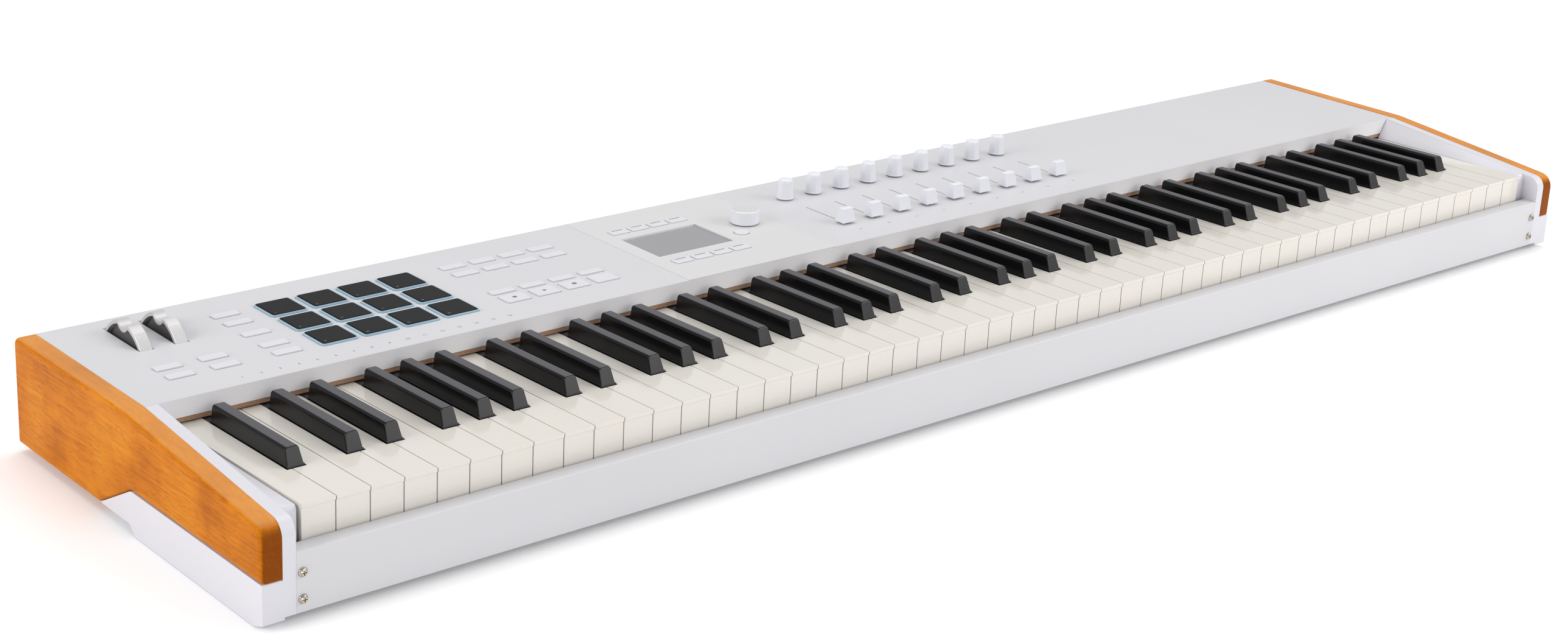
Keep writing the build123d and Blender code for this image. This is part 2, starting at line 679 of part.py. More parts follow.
# Felt: the strip behind the keys and the soft stop under them.
felt_behind = block(-621.5, 621.5, FOLD_Y + 0.6, FOLD_Y + 4.5, 64.9, 68.3)
felt_stop = block(-608, 608, -89, -72, 38.9, 41.9)
felt_behind += block(-621.5, 621.5, FOLD_Y + SHEET, FOLD_Y + 4.5, 68.3, 72)
parts["felt_strips"] = group([felt_behind, felt_stop])

# Circuit boards: contacts under the keys, and the control board under the panel.
contact_board = block(-606, 606, -40, 10, 38.0, 39.6)
for x in range(-590, 591, 118):
    contact_board += pillar(x, -35, 13.5, 38, 2.5)
    contact_board += pillar(x, 5, 13.5, 38, 2.5)
control_board = block(-535, 250, 30, 140, BOARD_TOP - 1.6, BOARD_TOP)
for x in (-520, -400, -240, -40, 120, 240):
    control_board += pillar(x, 128, PAN_TOP, BOARD_TOP - 1.6, 2.5)
    control_board += pillar(x, 84, PAN_TOP, BOARD_TOP - 1.6, 2.5)
parts["circuit_boards"] = group([contact_board, control_board])

# Screws: four in the rail and eight flat heads under the floor.
floor_screws = []
for x in (-590, -200, 200, 590):
    for y in (-100, 100):
        floor_screws.append(pillar(x, y, PAN_BOTTOM - 1.4, PAN_BOTTOM, 3.2))
parts["screws"] = group(rail_screws + floor_screws)

# ---------------------------------------------------------------- output
os.makedirs("parts", exist_ok=True)
for node, shape in parts.items():
    export_step(shape, f"parts/{node}.step")
    box = shape.bounding_box()
    print(node, len(shape.solids()), "solids", box.min, box.max)
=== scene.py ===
# %% [markdown]
# # Dressing an 88-note keyboard controller
# The engineering model already holds every part in its place: a folded white case between two wooden
# cheeks, 88 keys, pads, knobs, faders and wheels. This lesson loads that model as a fixed frame and
# gives it its looks. Parts whose shape is already right only get a better finish. Parts that show
# close up, such as the keys, are built again with soft edges and hung on the same moving body.

# %% Load the frame
import math

import bmesh
import bpy
from mathutils import Matrix, Vector


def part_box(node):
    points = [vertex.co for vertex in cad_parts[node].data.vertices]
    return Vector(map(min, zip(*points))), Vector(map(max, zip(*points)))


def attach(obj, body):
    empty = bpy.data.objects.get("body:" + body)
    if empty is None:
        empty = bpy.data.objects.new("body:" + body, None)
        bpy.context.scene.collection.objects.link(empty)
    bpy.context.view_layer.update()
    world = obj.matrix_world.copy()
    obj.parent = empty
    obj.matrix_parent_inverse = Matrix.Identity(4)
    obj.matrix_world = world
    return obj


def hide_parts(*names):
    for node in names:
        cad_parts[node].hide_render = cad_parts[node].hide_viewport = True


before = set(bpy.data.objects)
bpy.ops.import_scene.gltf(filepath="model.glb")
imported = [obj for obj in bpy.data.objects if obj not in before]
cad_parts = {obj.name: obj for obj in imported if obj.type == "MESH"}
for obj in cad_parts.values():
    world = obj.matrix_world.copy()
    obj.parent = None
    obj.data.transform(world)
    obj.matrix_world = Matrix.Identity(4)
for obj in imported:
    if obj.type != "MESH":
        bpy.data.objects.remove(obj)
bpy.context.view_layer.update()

# %% [markdown]
# ## Camera
# The keyboard is seen from the front left and a little above, leaning slightly as a hand-held shot
# does. A heading, a tilt and a roll are easier to read than a matrix, so the turn is built from them.
# The small lens shift frames the object without turning the camera.

# %% Camera
HEADING = math.radians(-41.0838)
TILT = math.radians(90 - 18.4858)
ROLL = math.radians(2.7401)
EYE = Vector((-1.298746, -1.326170, 0.686876))

lens = bpy.data.cameras.new("camera")
lens.sensor_width = 36.0
lens.lens = 58.337
lens.shift_x = 0.01677
lens.shift_y = -0.0488
lens.clip_start = 0.02
lens.clip_end = 60.0
camera = bpy.data.objects.new("camera", lens)
turn = Matrix.Rotation(HEADING, 4, "Z") @ Matrix.Rotation(TILT, 4, "X") @ Matrix.Rotation(ROLL, 4, "Z")
camera.matrix_world = Matrix.Translation(EYE) @ turn
scene = bpy.context.scene
scene.collection.objects.link(camera)
scene.camera = camera
print("camera", EYE.length, "m from the middle of the case")

# %% [markdown]
# ## Studio
# White products are shot in a white tent: light comes from everywhere, a little more from above and
# from the left and front. An even white world is the tent, and four broad lamps give the soft
# shading that tells the top of the case from its front. The floor is plain and pale.

# %% Studio
scene.view_settings.view_transform = "Standard"
TENT_LIGHT = 0.52


def area_light(name, place, target, width, height, power):
    """A broad soft lamp at place that looks at target."""
    lamp = bpy.data.lights.new(name, "AREA")
    lamp.shape = "RECTANGLE"
    lamp.size = width
    lamp.size_y = height
    lamp.energy = power
    holder = bpy.data.objects.new(name, lamp)
    aim = (Vector(target) - Vector(place)).to_track_quat("-Z", "Y")
    holder.matrix_world = Matrix.Translation(place) @ aim.to_matrix().to_4x4()
    scene.collection.objects.link(holder)
    return holder


world = bpy.data.worlds.new("tent")
world.use_nodes = True
tent = world.node_tree.nodes["Background"]
tent.inputs["Color"].default_value = (0.985, 0.99, 1.0, 1)
tent.inputs["Strength"].default_value = TENT_LIGHT
scene.world = world
area_light("overhead", (0.2, 0.5, 2.3), (0.2, 0, 0.05), 2.8, 1.4, 27)
area_light("window_left", (-2.7, 0.3, 1.1), (-0.4, 0, 0.05), 1.8, 1.4, 32)
area_light("front_high", (2.1, -1.9, 1.8), (0.4, 0, 0.05), 2.2, 1.3, 40)
area_light("front_fill", (0.4, -2.8, 0.9), (0.3, 0, 0.05), 3.0, 1.0, 14)
print("tent", TENT_LIGHT)

# %% [markdown]
# ## A small language for finishes
# A finish is a tree of shader nodes. Written node by node it is long and hard to read, so a thin
# class wraps one output socket, and the usual signs + - * / add the Math nodes. Every other node
# comes from one method that takes its type, its settings and its sockets.


# %% The Flow of one value
class Flow:
    """One output socket. Arithmetic on it adds Math nodes to its finish."""

    def __init__(self, finish, socket):
        self.finish = finish
        self.socket = socket

    def math(self, operation, first, second=0.0):
        return self.finish.node("Math", {"operation": operation}, {0: first, 1: second})

    def __add__(self, other):
        return self.math("ADD", self, other)

    def __radd__(self, other):
        return self.math("ADD", other, self)

    def __sub__(self, other):
        return self.math("SUBTRACT", self, other)

    def __rsub__(self, other):
        return self.math("SUBTRACT", other, self)

    def __mul__(self, other):
        return self.math("MULTIPLY", self, other)

    def __rmul__(self, other):
        return self.math("MULTIPLY", other, self)

    def ramp(self, low, high):
        """0 at low, 1 at high, held between."""
        settings = {"clamp": True, "interpolation_type": "SMOOTHSTEP"}
        return self.finish.node("MapRange", settings, {"Value": self, "From Min": low, "From Max": high})


class Finish:
    """A Principled material with constants on its sockets and maths where it varies."""

    def __init__(self, name, colour, roughness, **constants):
        self.material = bpy.data.materials.new(name)
        self.material.use_nodes = True
        self.tree = self.material.node_tree
        self.shader = self.tree.nodes["Principled BSDF"]
        self.shader.inputs["Base Color"].default_value = (*colour, 1)
        self.shader.inputs["Roughness"].default_value = roughness
        self.material.diffuse_color = (*colour, 1)
        for socket, value in constants.items():
            self.shader.inputs[socket.replace("_", " ")].default_value = value

    def node(self, kind, settings=None, sockets=None, out=0):
        """Adds a node: settings are set first, then the values or links of its sockets."""
        made = self.tree.nodes.new("ShaderNode" + kind)
        for setting, value in (settings or {}).items():
            if setting == "stops":
                self.set_stops(made.color_ramp, value)
            else:
                setattr(made, setting, value)
        for socket, value in (sockets or {}).items():
            self.plug(made.inputs[socket], value)
        return Flow(self, made.outputs[out])

    def set_stops(self, ramp, stops):
        while len(ramp.elements) < len(stops):
            ramp.elements.new(0.5)
        for element, (place, colour) in zip(ramp.elements, stops):
            element.position = place
            element.color = (*colour, 1)

    def plug(self, socket, value):
        if isinstance(value, Flow):
            self.tree.links.new(value.socket, socket)
        else:
            socket.default_value = value

    def place(self, scale=(1, 1, 1), turn=(0, 0, 0)):
        """Object coordinates in metres, stretched by scale."""
        where = self.node("TexCoord", out="Object")
        return self.node("Mapping", None, {"Vector": where, "Scale": scale, "Rotation": turn})

    def noise(self, place, scale, detail=2.0, roughness=0.5, distortion=0.0):
        sockets = {"Vector": place, "Scale": scale, "Detail": detail, "Roughness": roughness}
        return self.node("TexNoise", None, {**sockets, "Distortion": distortion})

    def mix(self, factor, first, second):
        """A colour between two colours."""
        made = self.tree.nodes.new("ShaderNodeMix")
        made.data_type = "RGBA"
        self.plug(made.inputs[0], factor)
        self.plug(made.inputs[6], (*first, 1) if isinstance(first, tuple) else first)
        self.plug(made.inputs[7], (*second, 1) if isinstance(second, tuple) else second)
        return Flow(self, made.outputs[2])

    def feed(self, socket, value):
        """Drives one of the shader's own sockets."""
        self.plug(self.shader.inputs[socket], value)

    def bump(self, height, strength, distance):
        made = self.node("Bump", None, {"Height": height, "Strength": strength, "Distance": distance})
        self.feed("Normal", made)

    def speckle(self, colour, spread, scale, bump=0.0, roughness=None, wander=0.06):
        """The usual life of a moulded or painted surface: faint tone, gloss and texture changes."""
        where = self.place()
        tone = self.noise(where, 7.0, 3.0)
        darker = tuple(channel * (1 - spread) for channel in colour)
        self.feed("Base Color", self.mix(tone.ramp(0.3, 0.7), darker, colour))
        grain = self.noise(where, scale, 2.0)
        if roughness is not None:
            self.feed("Roughness", grain * wander + (roughness - wander / 2))
        if bump:
            self.bump(grain, bump, 0.0002)
        return self


# %% [markdown]
# ## White finishes
# The case is steel with a fine satin powder coat in a cool white, and the end blocks, knobs and
# buttons are moulded plastic in the same family, each a touch different. Real paint never has one
# perfectly even tone, so each gets a slow change in tone and a fine grain in its gloss and surface.

# %% White finishes
CASE_WHITE = (0.60, 0.592, 0.612)
OVERLAY_WHITE = (0.615, 0.61, 0.61)
BLOCK_WHITE = (0.645, 0.635, 0.675)
BUTTON_WHITE = (0.655, 0.65, 0.675)
CAP_WHITE = (0.735, 0.745, 0.785)

# A lighter white for the panel's step behind the keys: painted fill light where the keys' shade falls.
PAINTED_FILL_WHITE = (0.80, 0.785, 0.80)


def panel_coat():
    """The panel's paint, with a painted lighter white on the step behind the keys: painted fill light,
    because that step stands in the keys' shade.
    """
    coat = Finish("panel coat and painted fill", CASE_WHITE, 0.45).speckle(CASE_WHITE, 0.02, 1600, 0.06, 0.46)
    facing = coat.node("SeparateXYZ", None, {"Vector": coat.node("NewGeometry", out="Normal")}, out="Y")
    base = coat.shader.inputs["Base Color"].links[0].from_socket
    # Faces turned to the front get the lighter white: painted fill light on the shaded step.
    coat.feed("Base Color", coat.mix((facing * -1.0).ramp(0.6, 0.9), Flow(coat, base), PAINTED_FILL_WHITE))
    return coat


case_white = Finish("powder coat white", CASE_WHITE, 0.45).speckle(CASE_WHITE, 0.02, 1600, 0.06, 0.46)
panel_white = panel_coat()
overlay_white = Finish("overlay white", OVERLAY_WHITE, 0.5).speckle(OVERLAY_WHITE, 0.015, 2200, 0.03, 0.5)
block_white = Finish("moulded white", BLOCK_WHITE, 0.38).speckle(BLOCK_WHITE, 0.02, 1300, 0.08, 0.4)
button_white = Finish("button white", BUTTON_WHITE, 0.4).speckle(BUTTON_WHITE, 0.01, 1800, 0.04, 0.42)
knob_white = Finish("knob white", CAP_WHITE, 0.34).speckle(CAP_WHITE, 0.015, 1500, 0.05, 0.36)
print("case white", CASE_WHITE)

# %% [markdown]
# ## Wood
# The cheeks are beech stained to a warm honey. Its grain runs from front to back: long wavy lines,
# short dark flecks, and slow patches where the stain took better. Each layer is a noise stretched
# along Y, because the same noise then draws thin lines on the side, the top and the rounded edge.
# The front end face is painted much darker, as painted shade, and the top and its rounded edge lighter, as
# a painted sheen.

# %% Wood
STAIN_DARK = (0.31, 0.072, 0.002)
STAIN_MIDDLE = (0.56, 0.168, 0.005)
STAIN_LIGHT = (0.72, 0.30, 0.020)


def stained_beech():
    wood = Finish("honey stained beech", STAIN_MIDDLE, 0.4, Specular_IOR_Level=0.05)
    along = wood.place((1.0, 0.07, 1.0))
    patch = wood.noise(wood.place((1.0, 0.8, 0.8)), 22.0, 3.0, 0.6)
    waves = wood.noise(along, 170.0, 5.0, 0.65, 1.6)
    lines = wood.noise(wood.place((1.0, 0.035, 1.0)), 520.0, 3.0, 0.6, 0.6)
    flecks = wood.noise(wood.place((1.0, 0.09, 1.0)), 1100.0, 1.0)
    curl = wood.noise(wood.place((1.0, 0.11, 1.0)), 260.0, 2.0, 0.5, 1.0)
    tone = waves * 0.36 + lines * 0.24 + patch * 0.62 - 0.1
    stops = [(0.28, STAIN_DARK), (0.52, STAIN_MIDDLE), (0.80, STAIN_LIGHT)]
    stain_and_sheen = wood.node("ValToRGB", {"stops": stops}, {"Fac": tone})
    fleck = flecks.ramp(0.60, 0.74) * 0.3
    vein = curl.ramp(0.50, 0.53) * (1 - curl.ramp(0.53, 0.57)) * 0.28
    stain_and_sheen = wood.mix(fleck, stain_and_sheen, (0.17, 0.040, 0.003))
    stain_and_sheen = wood.mix(vein, stain_and_sheen, (0.22, 0.052, 0.003))
    normal = wood.node("NewGeometry", out="Normal")
    up = wood.node("SeparateXYZ", None, {"Vector": normal}, out="Z")
    # Painted sheen: the top and its rounded edge are painted a lighter gold.
    stain_and_sheen = wood.mix(up.ramp(0.6, 0.98) * 0.45, stain_and_sheen, (0.72, 0.36, 0.13))
    front = wood.node("SeparateXYZ", None, {"Vector": normal}, out="Y") * -1.0
    # Painted shade: the front end face is painted a dark brown.
    wood.feed("Base Color", wood.mix(front.ramp(0.6, 0.95) * 0.82, stain_and_sheen, (0.17, 0.036, 0.002)))
    wood.feed("Roughness", lines * 0.16 + 0.30)
    wood.bump(lines - fleck * 0.8 - vein * 0.5, 0.12, 0.0003)
    return wood


cheek_wood = stained_beech()
print("wood", cheek_wood.material.name)

# %% [markdown]
# ## Keys
# White keys are ivory-coloured plastic with a soft polish. Black keys are matt on top, where fingers
# rest, and glossier at the sides. The difference follows the way a face looks, so the normal of the
# surface picks the gloss. The normal also paints the top a lighter grey, as a painted sheen, and the
# sloping front a lighter black, as a painted highlight.

# %% Key plastics
IVORY = (0.72, 0.69, 0.635)
JET = (0.0045, 0.0045, 0.005)


def key_ivory_plastic():
    ivory = Finish("ivory plastic", IVORY, 0.15, Coat_Weight=0.35, Coat_Roughness=0.04)
    where = ivory.place()
    tone = ivory.noise(where, 5.0, 3.0)
    warm = (0.70, 0.65, 0.575)
    ivory.feed("Base Color", ivory.mix(tone.ramp(0.35, 0.8) * 0.4, IVORY, warm))
    haze = ivory.noise(where, 60.0, 3.0)
    ivory.feed("Roughness", haze * 0.08 + 0.12)
    ivory.bump(ivory.noise(where, 900.0, 1.0), 0.02, 0.0002)
    return ivory


def key_black_plastic():
    black = Finish("black plastic", JET, 0.3, Specular_IOR_Level=0.24)
    facing = black.node("NewGeometry", out="Normal")
    up = black.node("SeparateXYZ", None, {"Vector": facing}, out="Z")
    front = black.node("SeparateXYZ", None, {"Vector": facing}, out="Y") * -1.0
    matt_and_sheen = up.ramp(0.86, 0.985)
    grain = black.noise(black.place(), 2400.0, 2.0)
    # Painted highlight: faces turned to the front are painted a lighter black.
    jet_and_painted_highlight = black.mix(front.ramp(0.6, 0.9), JET, (0.045, 0.044, 0.044))
    # Painted sheen: the matt top is painted a lighter grey than the sides.
    black.feed("Base Color", black.mix(matt_and_sheen, jet_and_painted_highlight, (0.085, 0.082, 0.090)))
    black.feed("Roughness", matt_and_sheen * 0.22 + grain * 0.04 + 0.18)
    black.bump(grain * matt_and_sheen, 0.06, 0.0002)
    return black


key_ivory = key_ivory_plastic()
key_black = key_black_plastic()
print("key plastics", key_ivory.material.name, key_black.material.name)

# %% [markdown]
# ## The other finishes
# The rubber pads sit in pale blue rims, the wheels are silver plastic, the screws are
# bright nickel, and a brown felt strip deadens the gap behind the keys. Inner parts show through
# slots and from below, so they get plain but true finishes too.


# %% Other finishes
def felt_finish():
    felt = Finish("brown felt", (0.34, 0.19, 0.11), 0.95, Sheen_Weight=0.4)
    where = felt.place()
    fuzz = felt.noise(where, 1400.0, 4.0, 0.7)
    felt.feed("Base Color", felt.mix(fuzz.ramp(0.3, 0.7), (0.30, 0.15, 0.08), (0.52, 0.31, 0.19)))
    felt.bump(fuzz, 0.6, 0.0006)
    return felt


def speckled(name, colour, roughness, bump=0.05, scale=1500.0, **constants):
    return Finish(name, colour, roughness, **constants).speckle(colour, 0.05, scale, bump, roughness)


felt_brown = felt_finish()
pad_rubber = speckled("pad rubber", (0.005, 0.005, 0.006), 0.5, 0.06, 2600.0, Specular_IOR_Level=0.22)
tray_blue = speckled("pale blue rim", (0.34, 0.50, 0.60), 0.28, 0.02, Coat_Weight=0.4)
wheel_silver = speckled("silver plastic", (0.56, 0.55, 0.545), 0.44, 0.04, Metallic=0.4)
# Painted shade: the web deep in each wheel's hollow sides is painted dark grey.
hollow_painted_shade = speckled("shaded hollow", (0.10, 0.10, 0.10), 0.5, 0.05)
window_glass = speckled(
    "window glass", (0.29, 0.29, 0.305), 0.16, 0.0, Coat_Weight=0.6, Coat_Roughness=0.05
)
screen_grey = speckled("screen grey", (0.10, 0.10, 0.11), 0.4, 0.0)
pan_steel = speckled("painted steel", (0.70, 0.70, 0.73), 0.5, 0.1)
frame_steel = speckled("zinc steel", (0.56, 0.57, 0.58), 0.38, 0.05, Metallic=0.9)
board_green = speckled("board green", (0.02, 0.11, 0.05), 0.4, 0.05)
socket_black = speckled("socket black", (0.02, 0.02, 0.022), 0.45, 0.08)
foot_rubber = speckled("foot rubber", (0.018, 0.018, 0.018), 0.8, 0.3, 1800.0)
nickel = speckled("bright nickel", (0.50, 0.45, 0.38), 0.16, 0.03, Metallic=1.0)
dark_gap = speckled("gap shadow", (0.05, 0.05, 0.055), 0.7, 0.05)
print_grey = speckled("printed grey", (0.17, 0.17, 0.175), 0.6, 0.02)
pad_print = speckled("pad print", (0.30, 0.31, 0.32), 0.6, 0.02)

# %% Finishes for the parts that keep their shape
KEPT = {
    "bottom_pan": pan_steel, "top_panel": panel_white, "display_panel": overlay_white,
    "display_window": window_glass, "lcd_module": screen_grey, "front_rail": case_white,
    "wood_cheek_left": cheek_wood, "wood_cheek_right": cheek_wood, "end_block_left": block_white,
    "end_block_right": block_white, "felt_strips": felt_brown, "key_frame": frame_steel,
    "circuit_boards": board_green, "rear_sockets": socket_black, "rubber_feet": foot_rubber,
    "screws": nickel, "pad_tray": tray_blue, "potentiometers": frame_steel,
    "wheel_bracket": frame_steel, "encoder_shaft": frame_steel, "left_buttons": button_white,
    "function_buttons": button_white, "transport_buttons": button_white,
    "display_buttons": button_white,
}
for node_name, finish in KEPT.items():
    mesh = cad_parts[node_name].data
    mesh.materials.clear()
    mesh.materials.append(finish.material)
print("kept parts", len(KEPT))

# %% [markdown]
# ## Building by loops
# Keys, caps and knobs are all stacks of outlines: a ring of points at each height, skinned into a
# closed solid. Sizes are written in millimetres, as on a drawing, and brought to metres once. A
# Bevel modifier then rounds the marked edges, each by its own share of the width.

# %% Mesh helpers
MM = 0.001


def stack(bm, loops):
    """Skins a stack of equal rings into one closed solid and returns the rings of vertices."""
    rings = [[bm.verts.new(point) for point in loop] for loop in loops]
    for low, high in zip(rings, rings[1:]):
        for i in range(len(low)):
            j = (i + 1) % len(low)
            bm.faces.new((low[i], low[j], high[j], high[i]))
    bm.faces.new(rings[-1])
    bm.faces.new(rings[0][::-1])
    return rings


def cut_mesh(name, fill):
    """A mesh object in metres from fill(bm), which works in millimetres."""
    bm = bmesh.new()
    fill(bm)
    bmesh.ops.scale(bm, vec=(MM, MM, MM), verts=bm.verts)
    bmesh.ops.recalc_face_normals(bm, faces=bm.faces)
    mesh = bpy.data.meshes.new(name)
    bm.to_mesh(mesh)
    bm.free()
    piece = bpy.data.objects.new(name, mesh)
    scene.collection.objects.link(piece)
    return piece


def bake(piece):
    """Turns the modifiers' result into the piece's plain mesh."""
    seen = piece.evaluated_get(bpy.context.evaluated_depsgraph_get())
    mesh = bpy.data.meshes.new_from_object(seen)
    piece.modifiers.clear()
    piece.data = mesh
    return piece


def soften(piece, width, segments=3, weighted=False):
    """Rounds the edges: all sharp ones, or only the marked ones by their weight."""
    bevel = piece.modifiers.new("soft edges", "BEVEL")
    bevel.width = width * MM
    bevel.segments = segments
    bevel.limit_method = "WEIGHT" if weighted else "ANGLE"
    bevel.angle_limit = math.radians(28)
    bevel.use_clamp_overlap = True
    return bake(piece)


def smooth(piece, angle=38):
    """Smooth shading, broken at edges sharper than angle."""
    piece.data.shade_smooth()
    piece.data.set_sharp_from_angle(angle=math.radians(angle))
    steady = piece.modifiers.new("steady normals", "WEIGHTED_NORMAL")
    steady.keep_sharp = True
    return bake(piece)


def finished(piece, finish, body, slot, *nodes):
    """Paints a piece, hangs it on its body and hides the parts it stands for."""
    piece.data.materials.clear()
    piece.data.materials.append(finish.material)
    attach(piece, body)
    if nodes:
        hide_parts(*nodes)
    return piece


# %% [markdown]
# ## One Geometry Nodes tree for everything that repeats
# Keys repeat once an octave, pads stand in rows and screws in pairs. All of them are a piece copied
# Count times along Step and Rows times along Row Step, so one small tree with those four inputs
# serves the whole keyboard. Realizing the copies at the end makes them one real mesh.


# %% The grid of copies
def grid_tree():
    tree = bpy.data.node_groups.new("Grid of copies", "GeometryNodeTree")
    face = tree.interface
    face.new_socket("Piece", in_out="INPUT", socket_type="NodeSocketGeometry")
    for name, kind in (("Count", "Int"), ("Step", "Vector"), ("Rows", "Int"), ("Row Step", "Vector")):
        face.new_socket(name, in_out="INPUT", socket_type="NodeSocket" + kind)
    face.new_socket("Finish", in_out="INPUT", socket_type="NodeSocketMaterial")
    face.new_socket("Copies", in_out="OUTPUT", socket_type="NodeSocketGeometry")
    add = tree.nodes.new
    start = add("NodeGroupInput").outputs
    shape = start["Piece"]
    for count, step in (("Count", "Step"), ("Rows", "Row Step")):
        line = add("GeometryNodeMeshLine")
        copies = add("GeometryNodeInstanceOnPoints")
        tree.links.new(start[count], line.inputs["Count"])
        tree.links.new(start[step], line.inputs["Offset"])
        tree.links.new(line.outputs["Mesh"], copies.inputs["Points"])
        tree.links.new(shape, copies.inputs["Instance"])
        shape = copies.outputs["Instances"]
    real = add("GeometryNodeRealizeInstances")
    paint = add("GeometryNodeSetMaterial")
    tree.links.new(shape, real.inputs["Geometry"])
    tree.links.new(real.outputs["Geometry"], paint.inputs["Geometry"])
    tree.links.new(start["Finish"], paint.inputs["Material"])
    tree.links.new(paint.outputs["Geometry"], add("NodeGroupOutput").inputs["Copies"])
    return tree


COPIES = grid_tree()
COPY_INPUTS = {item.name: item.identifier for item in COPIES.interface.items_tree}
print("tree inputs", list(COPY_INPUTS))


def repeat(piece, finish, count, step, rows=1, row_step=(0, 0, 0)):
    """Copies a piece over a grid; steps are in millimetres."""
    grid = piece.modifiers.new("copies", "NODES")
    grid.node_group = COPIES
    values = {"Count": count, "Step": step, "Rows": rows, "Row Step": row_step, "Finish": finish.material}
    for name, value in values.items():
        if isinstance(value, tuple):
            value = [part * MM for part in value]
        grid[COPY_INPUTS[name]] = value
    return bake(piece)


def join(name, pieces):
    """Several mesh objects as one, with no material yet."""
    bm = bmesh.new()
    for piece in pieces:
        bm.from_mesh(piece.data)
        bpy.data.objects.remove(piece)
    mesh = bpy.data.meshes.new(name)
    bm.to_mesh(mesh)
    bm.free()
    whole = bpy.data.objects.new(name, mesh)
    scene.collection.objects.link(whole)
    return whole


# %% [markdown]
# ## White keys
# A white key is a broad head and a narrow tail between its black neighbours. Its front is an apron
# set back under a small lip. The outline seen from above is stacked at four heights, and the front
# edge gets the largest rounding because the thumb meets it. Every note is drawn once, in the lowest
# full octave, and copied seven times.

# %% Key sizes
PITCH = 23.5
OCTAVE = 7 * PITCH
FIRST_C = -52 * PITCH / 2 + 2 * PITCH
KEY_GAP = 0.8
LIP_Y = -147.5
LIP_Z = 67.5
TAIL_END = 72.0
ARM_Z = 50.0
APRON_Z = 38.0
BLACK_OFFSETS = {"c_sharp": 20.9, "d_sharp": 49.2, "f_sharp": 90.2, "g_sharp": 117.5, "a_sharp": 144.1}
BLACK_FRONT = -96.8
BLACK_BACK = -2.0
NOTCH_Y = BLACK_FRONT - 0.9
NOTCH_HALF = 6.9
WHITE_NAMES = ("c", "d", "e", "f", "g", "a", "b")


def key_top(y):
    """Height of the playing surface at y."""
    return LIP_Z - math.tan(math.radians(1.36)) * (y - LIP_Y)


# %% White key shape
def white_key(name, x0, left_black, right_black):
    """One white key from x0; the black keys beside it are given by their middles or None."""
    x0, x1 = x0 + KEY_GAP / 2, x0 + PITCH - KEY_GAP / 2
    tail0 = x0 if left_black is None else left_black + NOTCH_HALF
    tail1 = x1 if right_black is None else right_black - NOTCH_HALF
    apron = LIP_Y + 0.8
    back = apron + 20.0

    def outline(front, drop=None):
        points = [(x0, front), (x1, front), (x1, back)]
        points += [(x1, NOTCH_Y), (tail1, NOTCH_Y)] if tail1 != x1 else []
        points += [(tail1, TAIL_END), (tail0, TAIL_END)]
        points += [(tail0, NOTCH_Y), (x0, NOTCH_Y)] if tail0 != x0 else []
        points += [(x0, back)]
        if drop is None:
            return [(x, y, APRON_Z if y < back else ARM_Z) for x, y in points]
        return [(x, y, key_top(y) - drop) for x, y in points]

    def fill(bm):
        low = stack(bm, [outline(apron), outline(apron, 3.2), outline(LIP_Y, 2.5), outline(LIP_Y, 0)])[0]
        bm.faces.remove(bm.faces.get(low))
        bm.faces.new([low[0], low[-1], low[2], low[1]])
        bm.faces.new([low[-1], *low[2:-1][::-1]])
        mark_edges(bm)

    return soften(cut_mesh(name, fill), 1.5, 4, weighted=True)


def mark_edges(bm):
    """Marks how much each edge of a white key is rounded."""
    weight = bm.edges.layers.float.new("bevel_weight_edge")
    for edge in bm.edges:
        if len(edge.link_faces) != 2 or edge.calc_face_angle() < 0.5:
            continue
        a, b = (v.co for v in edge.verts)
        on_top = all(abs(p.z - key_top(p.y)) < 0.05 for p in (a, b))
        at_lip = on_top and abs(a.y - LIP_Y) < 0.01 and abs(b.y - LIP_Y) < 0.01
        upright = abs(a.x - b.x) < 0.01 and abs(a.y - b.y) < 0.9 and a.y < NOTCH_Y - 20
        edge[weight] = 1.0 if at_lip else 0.5 if on_top else 0.45 if upright else 0.0


# %% Seven notes, copied up the keyboard
def black_beside(index, side):
    """Middle of the black key on one side of a white key in the lowest full octave."""
    left_names = (None, "c_sharp", "d_sharp", None, "f_sharp", "g_sharp", "a_sharp")
    right_names = ("c_sharp", "d_sharp", None, "f_sharp", "g_sharp", "a_sharp", None)
    note = (left_names if side == "left" else right_names)[index]
    return None if note is None else FIRST_C + BLACK_OFFSETS[note]


white_faces = 0
for index, note in enumerate(WHITE_NAMES):
    left, right = black_beside(index, "left"), black_beside(index, "right")
    first = FIRST_C + PITCH * index
    count = 7
    if note == "b":
        first, left, count = first - OCTAVE, left - OCTAVE, 8
    key = white_key("row_" + note, first, left, right)
    pieces = [repeat(key, key_ivory, count, (OCTAVE, 0, 0))]
    if note == "a":
        pieces.append(white_key("lowest_a", first - 6 * PITCH - PITCH, None, right - OCTAVE))
    if note == "c":
        pieces.append(white_key("highest_c", first + 7 * OCTAVE, None, None))
    keys = smooth(join("white_keys_" + note, pieces), 30)
    finished(keys, key_ivory, "keys_" + note, "key_ivory", "keys_" + note)
    white_faces += len(keys.data.polygons)
print("white key faces", white_faces)

# %% [markdown]
# ## Black keys
# A black key stands on a straight foot, leans in on all sides, and ends in a sloping front with an
# arched top. The cap is one section, with the arch drawn in it, stacked from front to back. The first
# and last sections are drawn in a little, which rounds both ends.


# %% Black keys
FOOT_HALF = 6.0
CAP_RISE = 11.1
ROOF_HALF = 4.9
ROOF_CORNER = 2.3
FRONT_LEAN = 0.42


def cap_section(inset):
    """The cap seen from the front: leaning sides and a rounded roof, drawn in by inset."""
    points = [(-5.75, 0.0)]
    centre_z = CAP_RISE - ROOF_CORNER
    for side, first in ((-1, 180), (1, 90)):
        for k in range(7):
            angle = math.radians(first - 15 * k)
            across = side * (ROOF_HALF - ROOF_CORNER) + ROOF_CORNER * math.cos(angle)
            points.append((across, centre_z + ROOF_CORNER * math.sin(angle)))
    points.append((5.75, 0.0))
    return [(px * (1 - inset / 5.75), pz * (1 - inset / CAP_RISE)) for px, pz in points]


